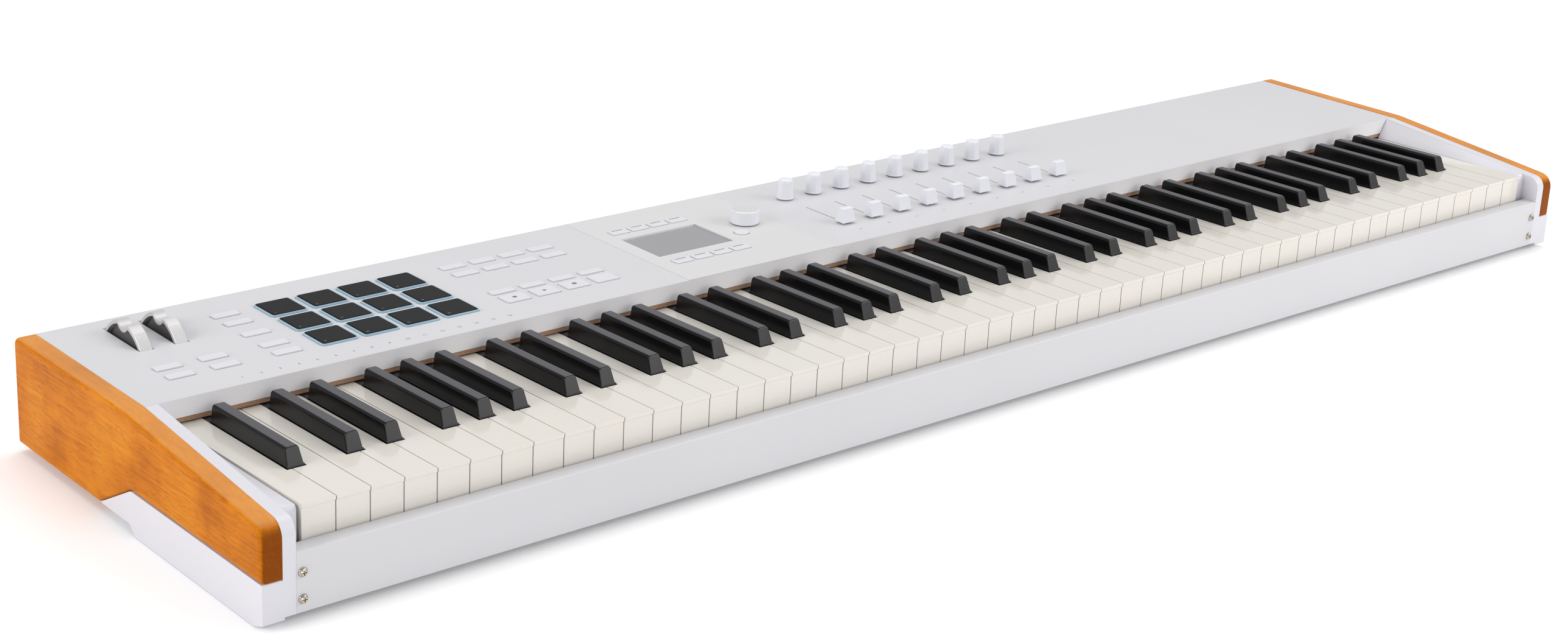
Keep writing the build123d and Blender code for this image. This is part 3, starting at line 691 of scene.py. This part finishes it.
def black_key(name, x):
    def ring(inset, start, lean):
        made = []
        for px, pz in cap_section(inset):
            y = start + lean * pz
            made.append((x + px, y, key_top(y) + 0.9 + pz))
        return made

    def foot(z_rise, front, half):
        ends = ((-half, front), (half, front), (half, BLACK_BACK), (-half, BLACK_BACK))
        return [(x + px, y, ARM_Z if z_rise is None else key_top(y) + z_rise) for px, y in ends]

    def fill(bm):
        front, back = BLACK_FRONT + 0.7, BLACK_BACK - 0.3
        rounding = ((0.9, 0.0), (0.45, 0.12), (0.14, 0.42), (0.0, 0.95))
        rings = [ring(inset, front + step, FRONT_LEAN) for inset, step in rounding]
        rings += [ring(inset, back - step, -0.05) for inset, step in rounding[::-1]]
        stack(bm, rings)
        low, middle = foot(None, BLACK_FRONT, 5.9), foot(0.5, BLACK_FRONT, FOOT_HALF)
        stack(bm, [low, middle, foot(1.15, BLACK_FRONT + 0.15, 5.9)])

    return cut_mesh(name, fill)


def black_arm(name, x):
    """The tail that carries the cap back to the pivot."""

    def fill(bm):
        def ring(z0, z1, y):
            return [(x - 5.8, y, z0), (x + 5.8, y, z0), (x + 5.8, y, z1), (x - 5.8, y, z1)]

        y0, y1 = BLACK_BACK - 6, TAIL_END
        stack(bm, [ring(ARM_Z, key_top(y0) - 1, y0), ring(ARM_Z, key_top(y1) - 1, y1)])

    return cut_mesh(name, fill)


for note, offset in BLACK_OFFSETS.items():
    middle = FIRST_C + offset
    count = 7
    if note == "a_sharp":
        middle, count = middle - OCTAVE, 8
    one = join("one_" + note, [black_key("cap_" + note, middle), black_arm("arm_" + note, middle)])
    keys = smooth(repeat(one, key_black, count, (OCTAVE, 0, 0)), 34)
    keys.name = "black_keys_" + note
    finished(keys, key_black, "keys_" + note, "key_black", "keys_" + note)
print("black keys", sum(8 if n == "a_sharp" else 7 for n in BLACK_OFFSETS))

# %% [markdown]
# ## Turned parts
# The knobs and the big encoder are turned round an axis. One function turns a profile of radius and
# height, and a second rule can change the radius as it goes round. The knobs use that for their
# eight shallow flats.


# %% Turning a profile
def turned(bm, middle, profile, steps=64, shape=None):
    """Turns (radius, height) rings; shape(angle, radius, height) may change the radius."""
    loops = []
    for radius, height in profile:
        loop = []
        for i in range(steps):
            angle = 2 * math.pi * i / steps
            r = shape(angle, radius, height) if shape else radius
            loop.append((r * math.cos(angle), r * math.sin(angle), height))
        loops.append([tuple(Vector(p) + Vector(middle)) for p in loop])
    return stack(bm, loops)


STRIP_X0 = -14.8
STRIP_PITCH = 29.83
KNOB_Y = 116.3
PANEL_Z = 81.0


def knob_flats(angle, radius, height):
    """Eight wide flats that fade out under the rounded top."""
    if not 1.2 < height < 15.4 or radius < 3:
        return radius
    eighth = math.pi / 4
    off = (angle + eighth / 2) % eighth - eighth / 2
    flat = (radius - 0.30) / math.cos(off)
    return min(radius, flat)


KNOB_PROFILE = [
    (2.9, 8.0), (2.9, 0.0), (6.3, 0.0), (6.8, 0.35), (6.78, 1.1), (6.7, 1.3), (6.55, 3.6), (6.3, 7.2),
    (6.05, 10.8), (5.85, 13.6), (5.72, 14.6), (5.5, 15.2), (5.1, 15.65), (4.5, 15.9), (3.6, 16.0),
    (0.6, 16.0),
]
for strip in range(9):
    x = STRIP_X0 + STRIP_PITCH * strip
    place = (x, KNOB_Y, PANEL_Z + 0.9)
    shape = lambda bm: turned(bm, place, KNOB_PROFILE, 96, knob_flats)
    knob = cut_mesh(f"strip_knob_{strip + 1}", shape)
    finished(smooth(knob, 50), knob_white, f"knob_{strip + 1}", "knob_white", f"knob_{strip + 1}")
print("knobs 9, height", 16.0)

# %% Encoder
ENCODER = (-82.3, 86.0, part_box("encoder_cap")[0].z / MM)
DRUM = [
    (3.1, 7.0), (3.1, 0.0), (10.7, 0.0), (11.2, 0.4), (11.2, 10.0), (11.05, 10.4), (10.7, 10.6),
    (0.6, 10.6),
]
DISH = [
    (10.6, 10.4), (10.6, 10.62), (10.45, 10.76), (10.2, 10.8), (9.9, 10.75), (9.0, 10.66), (5.0, 10.62),
    (0.6, 10.61),
]


def brushed_metal():
    metal = Finish("turned metal", (0.70, 0.695, 0.70), 0.3, Metallic=0.25)
    x, y, z = (value * MM for value in ENCODER)
    where = metal.node("TexCoord", out="Object")
    centred = metal.node("Mapping", None, {"Vector": where, "Location": (-x, -y, -z)})
    settings = {"wave_type": "RINGS", "rings_direction": "Z"}
    rings = metal.node("TexWave", settings, {"Vector": centred, "Scale": 1200.0})
    metal.feed("Roughness", rings * 0.12 + 0.22)
    metal.bump(rings, 0.08, 0.0001)
    return metal


drum = smooth(cut_mesh("encoder_drum", lambda bm: turned(bm, ENCODER, DRUM, 96)), 40)
finished(drum, knob_white, "encoder_cap", "knob_white", "encoder_cap")
dish = smooth(cut_mesh("encoder_dish", lambda bm: turned(bm, ENCODER, DISH, 96)), 40)
finished(dish, brushed_metal(), "encoder_cap", "knob_white")
print("encoder radius 11.2")

# %% [markdown]
# ## Wheels
# The two wheels share one drawing: a rim with a scooped notch for the finger, fine ridges in front of
# it, and hollow sides round a thin web. The rim is a ring of sections: at each angle the outer radius
# is either the full wheel, the scoop, or a ridge.

# %% Wheels
WHEEL_X = (-584.9, -559.4)
WHEEL_Y = 115.4
WHEEL_Z = 64.2
WHEEL_R = 30.0
SCOOP_R = 9.8
SCOOP_RISE = 35.2
HALF_WIDTH = 4.6
RIDGE_START = 121.0
RIDGE_STEP = 2.6
RIDGE_COUNT = 12
WHEEL_STEPS = 600


def rim_radius(angle):
    """Outer radius at an angle from the back horizon, over the top, to the front."""
    y, z = math.cos(angle), math.sin(angle)
    radius = WHEEL_R
    b = -0.5 * y + SCOOP_RISE * z
    inside = b * b - (0.25 + SCOOP_RISE**2 - SCOOP_R**2)
    if inside > 0 and z > 0:
        radius = min(radius, b - math.sqrt(inside))
    front = math.degrees(angle)
    if RIDGE_START < front < RIDGE_START + RIDGE_COUNT * RIDGE_STEP:
        share = (front - RIDGE_START) / RIDGE_STEP % 1
        radius -= 0.16 * max(0.0, 1 - abs(share - 0.5) * 3.2)
    return radius


def wheel(name, x):
    steps = WHEEL_STEPS

    def section(angle):
        outer = rim_radius(angle)
        depth = min(outer - 2.6, WHEEL_R - 2.6)
        half = HALF_WIDTH
        return [
            (x - half + 0.5, outer), (x + half - 0.5, outer), (x + half, outer - 0.5), (x + half, depth),
            (x + 1.2, depth - 0.4), (x + 1.2, 7.2), (x + half, 7.0), (x + half, 2.6), (x - half, 2.6),
            (x - half, 7.0), (x - 1.2, 7.2), (x - 1.2, depth - 0.4), (x - half, depth),
            (x - half, outer - 0.5),
        ]

    def fill(bm):
        rings = []
        for i in range(steps):
            angle = 2 * math.pi * i / steps
            y, z = math.cos(angle), math.sin(angle)
            rings.append([bm.verts.new((px, WHEEL_Y + r * y, WHEEL_Z + r * z)) for px, r in section(angle)])
        for ring, after in zip(rings, rings[1:] + rings[:1]):
            for k in range(len(ring)):
                j = (k + 1) % len(ring)
                bm.faces.new((ring[k], ring[j], after[j], after[k]))

    return smooth(cut_mesh(name, fill), 35)


def shade_hollow(piece, x):
    """Paints the web inside the rim a dark grey: painted shade for the hollow sides."""
    piece.data.materials.append(hollow_painted_shade.material)
    for face in piece.data.polygons:
        if abs(face.normal.x) > 0.7 and abs(face.center.x / MM - x) < 1.4:
            reach = math.hypot(face.center.y / MM - WHEEL_Y, face.center.z / MM - WHEEL_Z)
            face.material_index = int(7.3 < reach < WHEEL_R - 2.5)


for name, x in zip(("pitch_wheel", "mod_wheel"), WHEEL_X):
    made = finished(wheel(name + "_body", x), wheel_silver, name, "wheel_silver", name)
    shade_hollow(made, x)
print("wheels at", WHEEL_X)

# %% [markdown]
# ## Fader caps
# Each fader cap is a wedge with a flat grip, wide at the panel and narrow at the finger. A thin dark
# stem carries it through the slot.

# %% Fader caps
FADER_Y = 44.6
CAP_BASE = 82.3
STEM_FOOT = 70.0


def bar(x, y, size_x, size_y):
    """Corners of an upright rectangle round x, y."""
    left, right, front, back = x - size_x / 2, x + size_x / 2, y - size_y / 2, y + size_y / 2
    return [(left, front), (right, front), (right, back), (left, back)]


def level_bar(x, half_x, half_y, z):
    """The same rectangle round the fader line at height z."""
    return [(px, py, z) for px, py in bar(x, FADER_Y, 2 * half_x, 2 * half_y)]


def fader_cap(name, x):
    def fill(bm):
        base, skirt = level_bar(x, 6.4, 5.0, CAP_BASE), level_bar(x, 6.5, 5.1, CAP_BASE + 0.6)
        stack(bm, [base, skirt, level_bar(x, 5.2, 2.5, CAP_BASE + 11.2)])

    return soften(cut_mesh(name, fill), 0.6, 4)


def fader_stem(name, x):
    foot, head = level_bar(x, 0.35, 1.4, STEM_FOOT), level_bar(x, 0.35, 1.4, CAP_BASE + 1)
    return cut_mesh(name, lambda bm: stack(bm, [foot, head]))


for strip in range(9):
    x = STRIP_X0 + STRIP_PITCH * strip
    body = f"fader_cap_{strip + 1}"
    cap = smooth(fader_cap(f"fader_grip_{strip + 1}", x), 34)
    finished(cap, knob_white, body, "knob_white", body)
    finished(fader_stem(f"fader_stem_{strip + 1}", x), dark_gap, body, "knob_white")
print("fader caps 9")

# %% [markdown]
# ## Pads
# Each pad is a square of rubber with rounded corners in a pale rim. A few more rings near the top
# round its edge, which catches a thin highlight. The numbers are printed near each pad's front
# corner.


# %% Pads
def top_of(node):
    """Height of a part's highest point in millimetres."""
    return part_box(node)[1].z / MM


PAD_TOP = top_of("pads_row_1")
PAD_HALF = 12.6


def pad_block(name, x, y):
    def fill(bm):
        half = PAD_HALF
        profile = ((half, -5.4), (half, -0.5), (half - 0.12, -0.18), (half - 0.4, -0.03), (half - 1.0, 0.0))
        stack(bm, [rounded_square(x, y, size, 1.5 * size / half, PAD_TOP + z) for size, z in profile])

    return smooth(cut_mesh(name, fill), 40)


def rounded_square(x, y, half, corner, z, steps=5):
    """A square ring with rounded corners."""
    points = []
    for quarter in range(4):
        turn_by = math.pi / 2 * quarter
        cx = math.cos(turn_by + math.pi / 4) * math.sqrt(2) * (half - corner)
        cy = math.sin(turn_by + math.pi / 4) * math.sqrt(2) * (half - corner)
        for k in range(steps + 1):
            angle = turn_by + math.pi / 2 * k / steps
            points.append((x + cx + corner * math.cos(angle), y + cy + corner * math.sin(angle), z))
    return points


PAD_X = -473.3
PAD_Y = 112.6
PAD_STEP = 32.35
for row in range(3):
    block = pad_block(f"row_{row}", PAD_X, PAD_Y - PAD_STEP * row)
    pads = smooth(repeat(block, pad_rubber, 4, (PAD_STEP, 0, 0)), 40)
    pads.name = f"rubber_pads_{row + 1}"
    finished(pads, pad_rubber, f"pads_row_{row + 1}", "pad_rubber", f"pads_row_{row + 1}")
print("pads", 12)

# %% [markdown]
# ## Printed marks
# Only plain numbers and signs are printed: channel numbers in front of the pads, pad numbers, lines on
# the soft keys and the square, triangle and circle of a tape transport. A text object is turned into
# a mesh first and then moved, so that its object can stay at the origin.


# %% Printing helpers
def printed_text(text, x, y, z, size):
    """A flat number as a thin mesh, in place."""
    curve = bpy.data.curves.new("text", "FONT")
    curve.body = text
    curve.size = size * MM
    curve.align_x = "CENTER"
    curve.align_y = "CENTER"
    curve.extrude = 0.01 * MM
    curve.resolution_u = 3
    writer = bpy.data.objects.new("text", curve)
    scene.collection.objects.link(writer)
    mesh = bpy.data.meshes.new_from_object(writer.evaluated_get(bpy.context.evaluated_depsgraph_get()))
    bpy.data.objects.remove(writer)
    mesh.transform(Matrix.Translation((x * MM, y * MM, z * MM)))
    sign = bpy.data.objects.new("text", mesh)
    scene.collection.objects.link(sign)
    return sign


def printed_shape(corners, z):
    """A flat printed patch with the given corners."""
    rings = [[(x, y, z + rise) for x, y in corners] for rise in (-0.01, 0.02)]
    return cut_mesh("patch", lambda bm: stack(bm, rings))


def disc(x, y, radius, steps=32):
    angles = [2 * math.pi * k / steps for k in range(steps)]
    return [(x + radius * math.cos(a), y + radius * math.sin(a)) for a in angles]


# %% Marks
CHANNEL_LAST_X, CHANNEL_STEP, CHANNEL_Y = -350.8, 13.75, 16.0
STRIP_MARK_Y = 26.5
SOFT_ROWS = (121.0, 43.9)
TRANSPORT_Y = 42.4
INK = 0.02

numbers = [
    printed_text(str(n), CHANNEL_LAST_X - (16 - n) * CHANNEL_STEP, CHANNEL_Y, PANEL_Z + 0.03, 3.6)
    for n in range(1, 17)
]
marks = [bar(STRIP_X0 + STRIP_PITCH * n, STRIP_MARK_Y, 2.2, 0.7) for n in range(9)]
numbers += [printed_shape(mark, PANEL_Z + INK) for mark in marks]
finished(join("panel_print", numbers), print_grey, "case", "panel_white")
SOFT_X = [-178.9 + 18.4 * column for column in range(4)]
soft_top = top_of("display_buttons") + INK
lines = [printed_shape(bar(x, y, 10.0, 0.95), soft_top) for y in SOFT_ROWS for x in SOFT_X]
finished(join("soft_key_lines", lines), print_grey, "display_buttons", "button_white")
FUNCTION_X = [-328.2 + 25.75 * column for column in range(4)]
play_x = FUNCTION_X[1]
stop = bar(FUNCTION_X[0], TRANSPORT_Y, 3.0, 3.0)
play = [(play_x - 1.5, TRANSPORT_Y - 1.7), (play_x + 1.8, TRANSPORT_Y), (play_x - 1.5, TRANSPORT_Y + 1.7)]
record = disc(FUNCTION_X[2], TRANSPORT_Y, 1.9)
signs = [printed_shape(sign, top_of("transport_buttons") + INK) for sign in (stop, play, record)]
finished(join("transport_signs", signs), print_grey, "transport_buttons", "button_white")
for row in range(3):
    y = PAD_Y - PAD_STEP * row
    order = range(1 + 4 * row, 5 + 4 * row)
    digits = [
        printed_text(str(n), PAD_X + PAD_STEP * k - 9.6, y - 9.8, PAD_TOP + INK, 2.2)
        for k, n in enumerate(order)
    ]
    finished(join(f"pad_numbers_{row + 1}", digits), pad_print, f"pads_row_{row + 1}", "pad_rubber")
print("marks", len(numbers) + len(lines) + len(signs) + 12)

# %% [markdown]
# ## Screws
# Four cross-head screws hold the rail. The head is a low dome with a cross sunk in it: the cross is
# cut by a boolean, because its walls have to be sharp. Two by two copies come from the same grid.


# %% Rail screws
def cross_head(name, x, z):
    face = -160.0
    profile = [(3.1, 0.0), (3.1, 0.25), (2.95, 0.75), (2.5, 1.35), (1.8, 1.8), (1.0, 2.05), (0.3, 2.1)]

    def fill(bm):
        turned(bm, (0, 0, 0), profile, 40)
        bmesh.ops.rotate(bm, verts=bm.verts, cent=(0, 0, 0), matrix=Matrix.Rotation(math.pi / 2, 3, "X"))
        bmesh.ops.translate(bm, verts=bm.verts, vec=(x, face, z))

    def cross(bm):
        for size_x, size_z in ((3.5, 0.75), (0.75, 3.5)):
            corners = bar(x, z, size_x, size_z)
            inner = [(x + (px - x) * 0.55, z + (pz - z) * 0.55) for px, pz in corners]
            outer_ring = [(px, face - 3, pz) for px, pz in corners]
            stack(bm, [outer_ring, [(px, face - 0.9, pz) for px, pz in inner]])

    head = cut_mesh(name, fill)
    cutter = cut_mesh("cross", cross)
    cut = head.modifiers.new("cross", "BOOLEAN")
    cut.operation = "DIFFERENCE"
    cut.solver = "EXACT"
    cut.use_self = True
    cut.object = cutter
    bake(head)
    bpy.data.objects.remove(cutter)
    return head


SCREW_X, SCREW_LOW_Z, SCREW_RISE = 617.8, 14.5, 17.1
head = cross_head("rail_screws", -SCREW_X, SCREW_LOW_Z)
head = smooth(repeat(head, nickel, 2, (2 * SCREW_X, 0, 0), 2, (0, 0, SCREW_RISE)), 40)
finished(head, nickel, "case", "screw_nickel")
print("rail screws 4")

# %% Floor
floor_mesh = bpy.data.meshes.new("floor")
floor_mesh.from_pydata([(-14, -14, 0), (14, -14, 0), (14, 14, 0), (-14, 14, 0)], [], [(0, 1, 2, 3)])
floor = bpy.data.objects.new("floor", floor_mesh)
scene.collection.objects.link(floor)
floor_paint = Finish("pale floor", (0.95, 0.95, 0.95), 0.9, Specular_IOR_Level=0.1)
floor_paint.shader.inputs["Emission Color"].default_value = (1, 1, 1, 1)
floor_paint.shader.inputs["Emission Strength"].default_value = 0.06
floor_mesh.materials.append(floor_paint.material)
